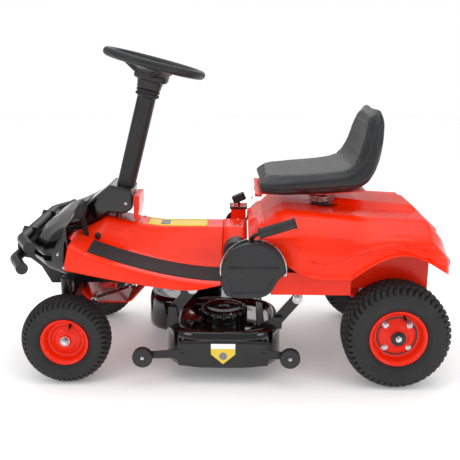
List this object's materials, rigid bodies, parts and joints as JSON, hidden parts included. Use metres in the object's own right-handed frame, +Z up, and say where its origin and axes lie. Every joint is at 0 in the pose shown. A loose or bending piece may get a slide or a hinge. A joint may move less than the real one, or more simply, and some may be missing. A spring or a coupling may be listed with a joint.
{
  "type": "riding lawn mower",
  "caption": "Compact ride-on mower: red body, black nose and console, tilted steering wheel, sprung bucket seat, turf tyres and a lifting mid deck.",
  "frame": {"origin": "on the ground below the middle of the overall box", "axes": "+Z up, -X the driving direction (nose), -Y the rider's left"},
  "size_m": [1.36, 0.7, 1.0117],
  "materials": {
    "red_paint": "gloss vermilion enamel on pressed steel",
    "black_gloss": "gloss black moulding",
    "black_satin": "satin charcoal moulding",
    "black_enamel": "gloss black enamel on pressed steel",
    "black_steel": "satin black powder coat on steel",
    "tyre": "turf tyre rubber",
    "rubber_mat": "black non-slip rubber",
    "seat_vinyl": "dark grey vinyl over foam",
    "zinc_steel": "bright zinc-plated steel",
    "spring_steel": "bright spring steel",
    "cast_alloy": "cast engine alloy",
    "reflector": "dark red reflector lens"
  },
  "bodies": {
    "chassis": {"main_frame": "black_steel", "front_body": "red_paint", "foot_pads": "rubber_mat", "rear_body": "red_paint", "rear_inner_panels": "red_paint", "side_vents": "black_satin", "front_cowl": "black_gloss", "dash_console": "black_gloss", "console_support": "red_paint", "steering_column": "black_satin", "bumper_tubes": "black_steel", "bumper_brackets": "black_steel", "steering_guard": "red_paint", "engine_block": "cast_alloy", "engine_cover": "black_satin", "transaxle": "cast_alloy", "drive_belt": "rubber_mat", "fuel_tank": "black_satin", "tail_lights": "reflector", "seat_hinge": "zinc_steel", "lever_quadrant": "zinc_steel", "lever_cover": "black_satin", "pedal_bracket": "black_steel", "gear_console": "red_paint"},
    "axle": {"axle_beam": "black_steel"},
    "knuckle_left": {"knuckle_left": "black_steel"},
    "knuckle_right": {"knuckle_right": "black_steel"},
    "tie_rods": {"tie_rods": "zinc_steel"},
    "front_wheel_left": {"front_tyre_left": "tyre", "front_rim_left": "red_paint"},
    "front_wheel_right": {"front_tyre_right": "tyre", "front_rim_right": "red_paint"},
    "rear_wheel_left": {"rear_tyre_left": "tyre", "rear_rim_left": "red_paint", "rear_hub_left": "zinc_steel"},
    "rear_wheel_right": {"rear_tyre_right": "tyre", "rear_rim_right": "red_paint", "rear_hub_right": "zinc_steel"},
    "steering": {"steering_wheel": "black_satin", "steering_shaft": "zinc_steel"},
    "seat": {"seat_pan": "red_paint", "seat_cushion": "seat_vinyl", "seat_springs": "spring_steel"},
    "lift_lever": {"lift_lever": "black_steel", "lever_grip": "rubber_mat"},
    "lift_rod": {"lift_rod": "zinc_steel"},
    "front_links": {"front_links": "black_steel"},
    "rear_links": {"rear_links": "black_steel"},
    "deck": {"deck_shell": "black_enamel", "pulley_covers": "black_satin"},
    "blade_left": {"blade_left": "zinc_steel"},
    "blade_right": {"blade_right": "zinc_steel"},
    "discharge_chute": {"discharge_chute": "black_satin"},
    "deck_wheel_front": {"deck_wheel_front": "black_satin"},
    "deck_wheel_rear": {"deck_wheel_rear": "black_satin"},
    "clutch_pedal": {"clutch_pedal": "rubber_mat"},
    "parking_brake": {"parking_brake": "black_satin"},
    "gear_lever": {"gear_lever": "black_satin"},
    "engine_pulley": {"engine_pulley": "zinc_steel"},
    "transaxle_pulley": {"transaxle_pulley": "zinc_steel"}
  },
  "joints": [
    {"name": "steering_wheel_turn", "type": "hinge", "parent": "chassis", "child": "steering", "pos_m": [-0.24, 0, 0.96], "axis": [0.2504, 0, 0.9681], "range_deg": [-36, 36]},
    {"name": "axle_rock", "type": "hinge", "parent": "chassis", "child": "axle", "pos_m": [-0.508, 0, 0.232], "axis": [1, 0, 0], "range_deg": [-5, 5]},
    {"name": "knuckle_left_steer", "type": "hinge", "parent": "axle", "child": "knuckle_left", "pos_m": [-0.508, -0.205, 0.2], "axis": [0, 0, 1], "range_deg": [-36, 36]},
    {"name": "knuckle_right_steer", "type": "hinge", "parent": "axle", "child": "knuckle_right", "pos_m": [-0.508, 0.205, 0.2], "axis": [0, 0, 1], "range_deg": [-36, 36]},
    {"name": "tie_rod_swivel", "type": "hinge", "parent": "knuckle_left", "child": "tie_rods", "pos_m": [-0.421, -0.205, 0.238], "axis": [0, 0, 1], "range_deg": [-36, 36]},
    {"name": "front_wheel_left_spin", "type": "hinge", "parent": "knuckle_left", "child": "front_wheel_left", "pos_m": [-0.496, -0.282, 0.137], "axis": [0, 1, 0], "continuous": true},
    {"name": "front_wheel_right_spin", "type": "hinge", "parent": "knuckle_right", "child": "front_wheel_right", "pos_m": [-0.496, 0.282, 0.137], "axis": [0, 1, 0], "continuous": true},
    {"name": "rear_wheel_left_spin", "type": "hinge", "parent": "chassis", "child": "rear_wheel_left", "pos_m": [0.513, -0.2865, 0.165], "axis": [0, 1, 0], "continuous": true},
    {"name": "rear_wheel_right_spin", "type": "hinge", "parent": "chassis", "child": "rear_wheel_right", "pos_m": [0.513, 0.2865, 0.165], "axis": [0, 1, 0], "continuous": true},
    {"name": "seat_tilt", "type": "hinge", "parent": "chassis", "child": "seat", "pos_m": [0.095, 0, 0.552], "axis": [0, 1, 0], "range_deg": [-60, 0]},
    {"name": "lift_lever_pull", "type": "hinge", "parent": "chassis", "child": "lift_lever", "pos_m": [0.076, -0.25, 0.364], "axis": [0, 1, 0], "range_deg": [0, 26]},
    {"name": "lift_rod_swing", "type": "hinge", "parent": "lift_lever", "child": "lift_rod", "pos_m": [0.076, -0.2, 0.404], "axis": [0, 1, 0], "range_deg": [-26, 0]},
    {"name": "front_links_swing", "type": "hinge", "parent": "chassis", "child": "front_links", "pos_m": [-0.11, 0, 0.284], "axis": [0, 1, 0], "range_deg": [0, 26]},
    {"name": "rear_links_swing", "type": "hinge", "parent": "chassis", "child": "rear_links", "pos_m": [0.216, 0, 0.254], "axis": [0, 1, 0], "range_deg": [0, 26]},
    {"name": "deck_level", "type": "hinge", "parent": "front_links", "child": "deck", "pos_m": [-0.171, 0, 0.211], "axis": [0, 1, 0], "range_deg": [-26, 0]},
    {"name": "blade_left_spin", "type": "hinge", "parent": "deck", "child": "blade_left", "pos_m": [-0.0135, -0.145, 0.1], "axis": [0, 0, 1], "continuous": true},
    {"name": "blade_right_spin", "type": "hinge", "parent": "deck", "child": "blade_right", "pos_m": [-0.1015, 0.145, 0.1], "axis": [0, 0, 1], "continuous": true},
    {"name": "chute_lift", "type": "hinge", "parent": "deck", "child": "discharge_chute", "pos_m": [-0.1, 0.329, 0.138], "axis": [1, 0, 0], "range_deg": [0, 70], "stiffness_Nm_per_rad": 0.3, "springref_deg": -17.19},
    {"name": "deck_wheel_front_spin", "type": "hinge", "parent": "deck", "child": "deck_wheel_front", "pos_m": [-0.257, -0.335, 0.098], "axis": [0, 1, 0], "continuous": true},
    {"name": "deck_wheel_rear_spin", "type": "hinge", "parent": "deck", "child": "deck_wheel_rear", "pos_m": [0.19, -0.335, 0.098], "axis": [0, 1, 0], "continuous": true},
    {"name": "clutch_pedal_press", "type": "hinge", "parent": "chassis", "child": "clutch_pedal", "pos_m": [-0.455, -0.15, 0.345], "axis": [0, 1, 0], "range_deg": [-12, 0], "stiffness_Nm_per_rad": 12, "springref_deg": 5.73},
    {"name": "parking_brake_set", "type": "hinge", "parent": "chassis", "child": "parking_brake", "pos_m": [-0.412, -0.159, 0.372], "axis": [0, 1, 0], "range_deg": [0, 12]},
    {"name": "gear_select", "type": "hinge", "parent": "chassis", "child": "gear_lever", "pos_m": [0.034, 0.145, 0.41], "axis": [0, 1, 0], "range_deg": [-8, 8]},
    {"name": "engine_pulley_spin", "type": "hinge", "parent": "chassis", "child": "engine_pulley", "pos_m": [0.38, 0, 0.25], "axis": [0, 0, 1], "continuous": true},
    {"name": "transaxle_pulley_spin", "type": "hinge", "parent": "chassis", "child": "transaxle_pulley", "pos_m": [0.521, 0, 0.25], "axis": [0, 0, 1], "continuous": true}
  ],
  "couplings": [
    {"joint": "knuckle_left_steer", "follows": "steering_wheel_turn", "ratio": 1},
    {"joint": "knuckle_right_steer", "follows": "steering_wheel_turn", "ratio": 1},
    {"joint": "tie_rod_swivel", "follows": "steering_wheel_turn", "ratio": -1},
    {"joint": "lift_rod_swing", "follows": "lift_lever_pull", "ratio": -1},
    {"joint": "front_links_swing", "follows": "lift_lever_pull", "ratio": 1},
    {"joint": "rear_links_swing", "follows": "lift_lever_pull", "ratio": 1},
    {"joint": "deck_level", "follows": "lift_lever_pull", "ratio": -1},
    {"joint": "blade_right_spin", "follows": "blade_left_spin", "ratio": 1},
    {"joint": "transaxle_pulley_spin", "follows": "engine_pulley_spin", "ratio": 0.72414}
  ]
}
